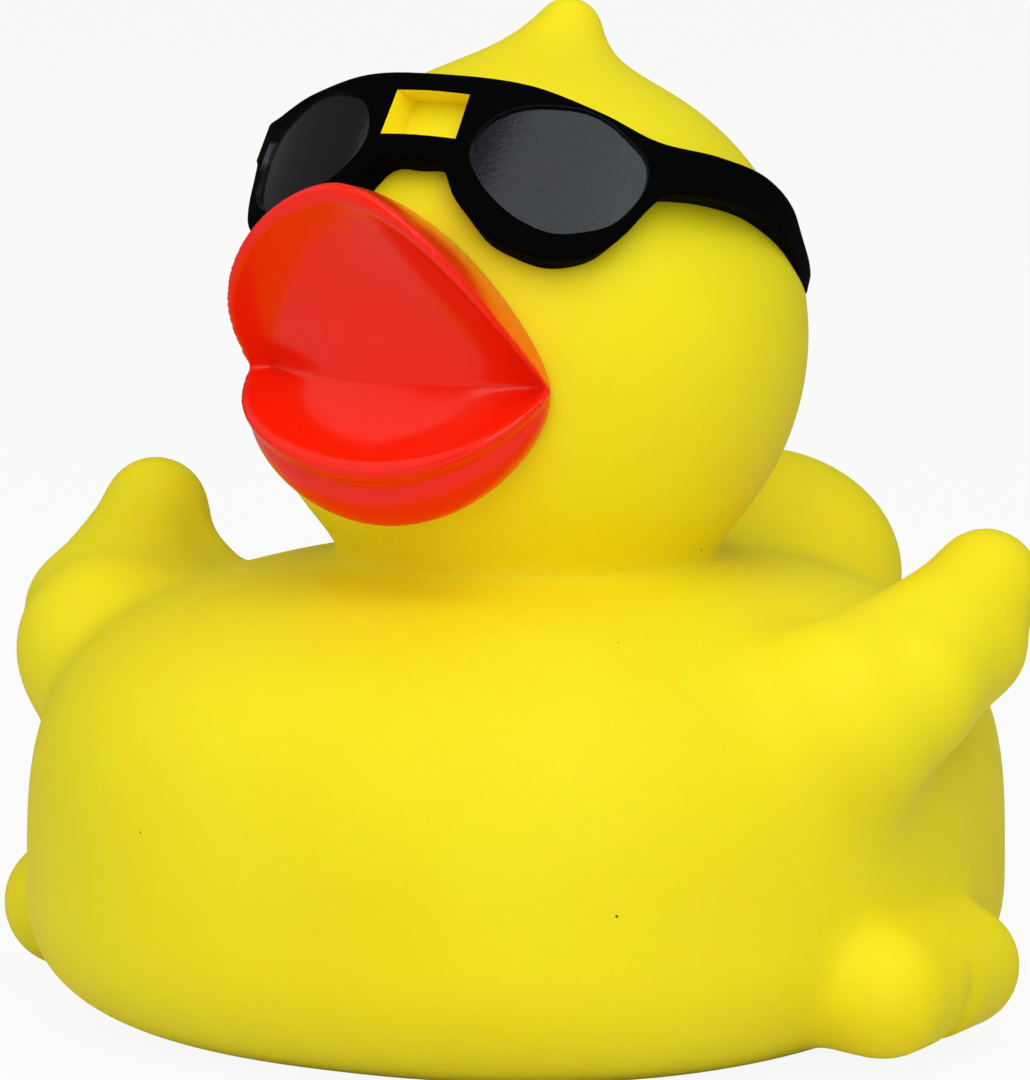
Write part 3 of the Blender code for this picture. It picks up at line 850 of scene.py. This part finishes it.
def rescale(tree, value, low, high, new_low, new_high, smooth=False):
    """A value's range turned into another one, with its ends held."""
    kind = "SMOOTHSTEP" if smooth else "LINEAR"
    node = add_node(tree, "ShaderNodeMapRange",
                    {"interpolation_type": kind, 1: low, 2: high, 3: new_low, 4: new_high},
                    {0: value})
    return node.outputs[0]


def spread(tree, value, low, high):
    """A noise whose values go from low to high."""
    return rescale(tree, value, NOISE_LOW, NOISE_HIGH, low, high)


def mixed(tree, share, first, second):
    """A mix of two colours, each a linear colour or another node's output."""
    settings, links = {"data_type": "RGBA"}, {0: share}
    for socket, tone in ((6, first), (7, second)):
        if isinstance(tone, bpy.types.NodeSocket):
            links[socket] = tone
        else:
            settings[socket] = (*tone, 1)
    return add_node(tree, "ShaderNodeMix", settings, links).outputs[2]


def toned(colour, red, green, blue):
    """A colour whose red, green and blue are taken times a factor each."""
    return [red * colour[0], green * colour[1], blue * colour[2]]


def specks(tree, place, spacing, radius):
    """1 on small round specks that lie at random in the material, and 0 elsewhere."""
    cells = add_node(tree, "ShaderNodeTexVoronoi", {"Scale": 1 / spacing}, {"Vector": place})
    edge = radius / spacing
    core = 0.6 * edge
    return rescale(tree, cells.outputs["Distance"], core, edge, 1, 0)


def bumped(tree, height, depth):
    """A normal that makes a 0 to 1 height stand out by a depth in metres."""
    node = add_node(tree, "ShaderNodeBump", {"Strength": 1.0, "Distance": depth},
                    {"Height": height})
    return node.outputs[0]


def new_material(name, **constants):
    """A material, its tree and its shader, whose sockets take the constants."""
    material = bpy.data.materials.new(name)
    material.use_nodes = True
    tree = material.node_tree
    shader = tree.nodes["Principled BSDF"]
    for socket, value in constants.items():
        shader.inputs[socket.replace("_", " ")].default_value = value
    place = add_node(tree, "ShaderNodeTexCoord").outputs["Object"]
    return material, tree, shader, place


def finish_shader(tree, shader, colour, roughness, normal):
    tree.links.new(colour, shader.inputs["Base Color"])
    tree.links.new(roughness, shader.inputs["Roughness"])
    tree.links.new(normal, shader.inputs["Normal"])


def moulded_vinyl(duck):
    """Soft yellow PVC as it comes from a rotating mould.

    Its satin skin gives broad, weak highlights. Light that enters it comes out warmer, so the
    creases and edges look orange. A few specks of dirt are caught in it.
    """
    material, tree, shader, place = new_material(
        "rotomoulded_yellow_vinyl", IOR=1.52, Specular_IOR_Level=0.16,
        Subsurface_Weight=0.45, Subsurface_Radius=(1.0, 0.50, 0.08), Subsurface_Scale=0.0040)
    clouds = noise(tree, place, size=0.018)
    yellow = duck.finish.vinyl
    deeper = toned(yellow, red=0.97, green=0.94, blue=0.6)
    colour = mixed(tree, spread(tree, clouds, low=0, high=1), yellow, deeper)
    dirt = specks(tree, place, spacing=0.0085, radius=0.00016)
    colour = mixed(tree, dirt, colour, duck.finish.speck)
    grain = noise(tree, place, size=0.0006, detail=3.0)
    satin = spread(tree, grain, low=0.56, high=0.64)
    finish_shader(tree, shader, colour, satin, bumped(tree, grain, depth=0.000006))
    return material


def sprayed_bill_paint(duck):
    """Orange-red paint sprayed on the bill from the front.

    It is thick and red where it faced the spray gun. On the flanks it is thin, and the yellow
    vinyl under it turns it orange.
    """
    material, tree, shader, place = new_material(
        "sprayed_orange_red_paint", IOR=1.5, Specular_IOR_Level=0.28,
        Subsurface_Weight=0.15, Subsurface_Radius=(1.0, 0.25, 0.05), Subsurface_Scale=0.002)
    normal = add_node(tree, "ShaderNodeNewGeometry").outputs["Normal"]
    facing = add_node(tree, "ShaderNodeVectorMath",
                      {"operation": "DOT_PRODUCT", 1: duck.finish.spray_from},
                      {0: normal}).outputs["Value"]
    drift = noise(tree, place, size=0.0050)
    drift_share = 0.12
    uneven = add_node(tree, "ShaderNodeMath", {"operation": "MULTIPLY_ADD", 1: drift_share},
                      {0: drift, 2: facing}).outputs[0]
    thin = rescale(tree, uneven, low=-0.10, high=0.32, new_low=1, new_high=0, smooth=True)
    colour = mixed(tree, thin, duck.finish.bill, duck.finish.bill_thin)
    dirt = specks(tree, place, spacing=0.0070, radius=0.00010)
    colour = mixed(tree, dirt, colour, duck.finish.speck)
    ripple = noise(tree, place, size=0.0016)
    gloss = spread(tree, ripple, low=0.16, high=0.22)
    finish_shader(tree, shader, colour, gloss, bumped(tree, ripple, depth=0.000010))
    return material


def matt_black_paint(duck):
    """Matt black paint sprayed through a mask. It swallows nearly all light."""
    material, tree, shader, place = new_material(
        "sprayed_matt_black_paint", IOR=1.5, Specular_IOR_Level=0.02)
    grain = noise(tree, place, size=0.0004, detail=3.0)
    share = rescale(tree, grain, low=0.4, high=0.7, new_low=0, new_high=1)
    lifted = toned(duck.finish.frame, red=2.0, green=2.0, blue=2.0)
    colour = mixed(tree, share, duck.finish.frame, lifted)
    dull = spread(tree, grain, low=0.70, high=0.85)
    finish_shader(tree, shader, colour, dull, bumped(tree, grain, depth=0.000015))
    return material


def gloss_black_paint(duck):
    """Gloss black paint brushed on the lenses, so that they mirror the softbox.

    Its orange peel breaks the mirrored edge into small glints.
    """
    material, tree, shader, place = new_material(
        "brushed_gloss_black_paint", IOR=1.5, Specular_IOR_Level=0.29,
        Specular_Tint=(0.86, 0.92, 1.0, 1.0))
    peel = noise(tree, place, size=0.0004)
    share = spread(tree, peel, low=0, high=1)
    deeper = toned(duck.finish.lens, red=0.5, green=0.5, blue=0.5)
    colour = mixed(tree, share, duck.finish.lens, deeper)
    gloss = spread(tree, peel, low=0.10, high=0.16)
    finish_shader(tree, shader, colour, gloss, bumped(tree, peel, depth=0.000012))
    return material


def moulded_plastic(name, plastic, roughness, uneven=0.05):
    """Plastic as it comes from a mould or a roll, a little dull, with faint flow marks."""
    material, tree, shader, place = new_material(
        name, IOR=1.51, Specular_IOR_Level=0.5, Subsurface_Weight=0.1,
        Subsurface_Radius=(1.0, 0.9, 0.8), Subsurface_Scale=0.001)
    flow = noise(tree, place, size=0.0025, detail=3.0)
    deeper = toned(plastic, red=0.93, green=0.93, blue=0.93)
    colour = mixed(tree, spread(tree, flow, low=0, high=1), plastic, deeper)
    grain = noise(tree, place, size=0.0005)
    gloss = spread(tree, grain, low=roughness - uneven, high=roughness + uneven)
    finish_shader(tree, shader, colour, gloss, bumped(tree, grain, depth=0.000008))
    return material


def floor_paper(stage):
    """White paper that the camera sees lit from behind, so that only a weak shadow shows."""
    material, tree, shader, place = new_material(
        "white_backdrop_paper", IOR=1.5, Specular_IOR_Level=0.1)
    fibres = noise(tree, place, size=0.002, detail=3.0)
    white = 3 * (stage.floor_tone,)
    fainter = toned(white, red=0.98, green=0.98, blue=0.98)
    colour = mixed(tree, spread(tree, fibres, low=0, high=1), white, fainter)
    dull = spread(tree, fibres, low=0.85, high=0.95)
    tree.links.new(colour, shader.inputs["Base Color"])
    tree.links.new(dull, shader.inputs["Roughness"])
    glow = add_node(tree, "ShaderNodeEmission", {"Strength": 1.0})
    seen = add_node(tree, "ShaderNodeLightPath").outputs["Is Camera Ray"]
    share = rescale(tree, seen, 0, 1, 0, stage.floor_glow)
    both = add_node(tree, "ShaderNodeMixShader", None,
                    {0: share, 1: shader.outputs[0], 2: glow.outputs[0]})
    tree.links.new(both.outputs[0], tree.nodes["Material Output"].inputs["Surface"])
    return material


class DUCK_OT_mould_skin(bpy.types.Operator):
    """Mould the hollow skin in yellow vinyl, flat underneath and with the squeaker's hole"""

    bl_idname = "duck.mould_skin"
    bl_label = "Mould the skin"

    def execute(self, context):
        duck = context.scene.duck
        body, squeaker, fine = duck.body, duck.squeaker, duck.fineness
        margin = 4 * fine.skin_step
        low = np.array(SKIN_LOW) - margin
        high = np.array(SKIN_HIGH) + margin
        skin = field_object("skin", lambda p: skin_distance(p, duck), low, high,
                            fine.skin_step, fine.rounds)
        hollow = field_object("hollow", lambda p: cavity_distance(p, duck), low, high,
                              fine.cavity_step, 0)
        middle = Vector((0, body.middle_y, 0))
        reach = 2 * body.half_width
        ground = turned_object("ground", ((0, -reach), (reach, -reach), (reach, 0), (0, 0)),
                               middle, fine.turn_points)
        top = body.wall + squeaker.boss_rise + margin
        seat = turned_object("seat", (
            (0, -margin),
            (squeaker.recess_radius, -margin),
            (squeaker.recess_radius, squeaker.recess_depth),
            (squeaker.hole_radius, squeaker.recess_depth),
            (squeaker.hole_radius, top),
            (0, top),
        ), middle, fine.turn_points)
        skin.data.materials.append(moulded_vinyl(duck))
        for cutter in (ground, hollow, seat):
            cut(skin, cutter)
        apply_modifiers(skin)
        finish_piece(skin, "yellow_vinyl", "duck_skin")
        return {"FINISHED"}


class DUCK_OT_mould_bill(bpy.types.Operator):
    """Mould the two flared lips of the bill and paint them"""

    bl_idname = "duck.mould_bill"
    bl_label = "Mould the bill"

    def execute(self, context):
        duck = context.scene.duck
        fine = duck.fineness
        lips = []
        for lip_sizes in (duck.upper_lip, duck.lower_lip):
            rings = [lip_section(turn, duck, lip_sizes)
                     for turn in steps(fine.lip_stations, -1.0, 1.0)]
            lips.append(ring_object("lip", rings))
        bill = joined("bill", lips)
        add_modifier(bill, "REMESH", mode="VOXEL", voxel_size=fine.bill_step)
        add_modifier(bill, "SMOOTH", factor=0.5, iterations=fine.bill_smoothing)
        apply_modifiers(bill)
        bill.data.materials.append(sprayed_bill_paint(duck))
        finish_piece(bill, "bill_paint")
        return {"FINISHED"}


class DUCK_OT_mould_sunglasses(bpy.types.Operator):
    """Mould the sunglasses in relief on the head, with sunk lenses and a window between them"""

    bl_idname = "duck.mould_sunglasses"
    bl_label = "Mould the sunglasses"

    def execute(self, context):
        duck = context.scene.duck
        glasses, fine = duck.glasses, duck.fineness
        parts = round(2 * glasses.end / fine.glasses_turn)
        band = ring_object("sunglasses", [band_section(duck, angle)
                                          for angle in steps(parts, -glasses.end, glasses.end)])
        band.data.materials.append(matt_black_paint(duck))
        gloss = gloss_black_paint(duck)
        outline = closed_curve(LENS_OUTLINE, fine.lens_curve)
        for side in (-1, 1):
            sided = [(side * angle, height) for angle, height in outline]
            centre = (side * LENS_CENTRE[0], LENS_CENTRE[1])
            pad = glasses_pad(duck, "lens", sided, centre, glasses.lens_depth,
                              glasses.pad_height)
            pad.data.materials.append(gloss)
            cut(band, pad, "TRANSFER")
        low, high = glasses.window_bottom, glasses.window_top
        wide = glasses.window_half_angle
        corners = ((-wide, low), (wide, low), (wide, high), (-wide, high))
        window = glasses_pad(duck, "window", corners, (0, (low + high) / 2),
                             glasses.window_depth, glasses.pad_height)
        window.data.materials.append(moulded_vinyl(duck))
        cut(band, window, "TRANSFER")
        apply_modifiers(band)
        finish_piece(band, "sunglasses_paint")
        return {"FINISHED"}


class DUCK_OT_fit_squeaker(bpy.types.Operator):
    """Turn the squeaker's cup, and give the cap and the reed their plastics"""

    bl_idname = "duck.fit_squeaker"
    bl_label = "Fit the squeaker"

    def execute(self, context):
        duck = context.scene.duck
        body, squeaker = duck.body, duck.squeaker
        foot = squeaker.recess_depth - squeaker.gap - squeaker.flange
        flange_top = foot + squeaker.flange
        flange = squeaker.recess_radius - squeaker.gap
        stem = squeaker.hole_radius - squeaker.gap
        bead_foot = body.wall + squeaker.boss_rise + squeaker.gap
        bead = stem + squeaker.bead_out
        bead_top = bead_foot + squeaker.bead_height
        rim = bead_top + squeaker.rise
        seat = stem - squeaker.rim
        bore = seat - squeaker.ledge
        ledge = rim - squeaker.rim_height
        floor_top = foot + squeaker.floor
        cup = turned_object("squeaker_body", (
            (squeaker.vent, foot),
            (flange, foot),
            (flange, flange_top),
            (stem, flange_top),
            (stem, bead_foot),
            (bead, bead_foot),
            (stem, bead_top),
            (stem, rim),
            (seat, rim),
            (seat, ledge),
            (bore, ledge),
            (bore, floor_top),
            (squeaker.vent, floor_top),
        ), Vector((0, body.middle_y, 0)), duck.fineness.turn_points)
        add_modifier(cup, "BEVEL", width=squeaker.bevel * squeaker.gap, segments=2, limit_method="ANGLE")
        apply_modifiers(cup)
        white = moulded_plastic("white_polyethylene", duck.finish.squeaker, roughness=0.38)
        film = moulded_plastic("grey_reed_film", duck.finish.reed, roughness=0.25)
        cup.data.materials.append(white)
        finish_piece(cup, "white_plastic", "squeaker_cup")
        for name, material, slot in (
            ("squeaker_cap", white, "white_plastic"),
            ("squeaker_reed", film, "reed_film"),
        ):
            node = frame["nodes"][name]
            node.data.materials.clear()
            node.data.materials.append(material)
        return {"FINISHED"}


class DUCK_OT_set_stage(bpy.types.Operator):
    """Set the floor, the lights and the camera"""

    bl_idname = "duck.set_stage"
    bl_label = "Set the stage"

    def execute(self, context):
        duck, scene = context.scene.duck, context.scene
        stage = duck.stage
        aim = Vector((0, duck.head.middle_y, stage.aim_height))

        size = stage.floor_size / 2
        floor = new_object("floor", [(-size, -size, 0), (size, -size, 0), (size, size, 0),
                                     (-size, size, 0)], [(0, 1, 2, 3)])
        floor.data.materials.append(floor_paper(stage))

        for name in ("key", "fill", "top"):
            yaw, elevation, power = getattr(stage, name)
            softbox = bpy.data.lights.new(name, "AREA")
            softbox.shape = "SQUARE"
            softbox.size = stage.softbox_size
            softbox.energy = power
            offset = turned_out(yaw, elevation, stage.lamp_distance)
            aimed(name, softbox, aim + offset, aim)

        lens = bpy.data.cameras.new("camera")
        lens.sensor_width = 36
        lens.lens = stage.lens
        lens.shift_x, lens.shift_y = stage.shift_x, stage.shift_y
        offset = turned_out(stage.yaw, stage.elevation, stage.distance)
        scene.camera = aimed("camera", lens, aim + offset, aim)

        scene.world = bpy.data.worlds.new("studio")
        scene.world.use_nodes = True
        tree = scene.world.node_tree
        seen = add_node(tree, "ShaderNodeLightPath").outputs["Is Camera Ray"]
        strength = rescale(tree, seen, 0, 1, stage.ambient, 1)
        tree.nodes["Background"].inputs["Color"].default_value = (1, 1, 1, 1)
        tree.links.new(strength, tree.nodes["Background"].inputs["Strength"])
        scene.view_settings.view_transform = "Standard"
        return {"FINISHED"}


class VIEW3D_PT_duck(bpy.types.Panel):
    """Buttons that build the duck, and its settings"""

    bl_label = "Duck"
    bl_space_type = "VIEW_3D"
    bl_region_type = "UI"
    bl_category = "Duck"

    def draw(self, context):
        for operator in OPERATORS:
            self.layout.operator(operator.bl_idname)
        for name, group in GROUPS.items():
            box = self.layout.box()
            box.label(text=name.replace("_", " ").capitalize())
            for setting in group.__annotations__:
                box.prop(getattr(context.scene.duck, name), setting,
                         text=setting.replace("_", " ").capitalize())


OPERATORS = (
    DUCK_OT_mould_skin,
    DUCK_OT_mould_bill,
    DUCK_OT_mould_sunglasses,
    DUCK_OT_fit_squeaker,
    DUCK_OT_set_stage,
)
CLASSES = (*GROUPS.values(), Duck, *OPERATORS, VIEW3D_PT_duck)


def register():
    for item in CLASSES:
        bpy.utils.register_class(item)
    bpy.types.Scene.duck = PointerProperty(type=Duck)


def unregister():
    del bpy.types.Scene.duck
    for item in reversed(CLASSES):
        bpy.utils.unregister_class(item)


def main():
    register()
    bpy.ops.duck.mould_skin()
    bpy.ops.duck.mould_bill()
    bpy.ops.duck.mould_sunglasses()
    bpy.ops.duck.fit_squeaker()
    bpy.ops.duck.set_stage()


if __name__ == "__main__":
    main()
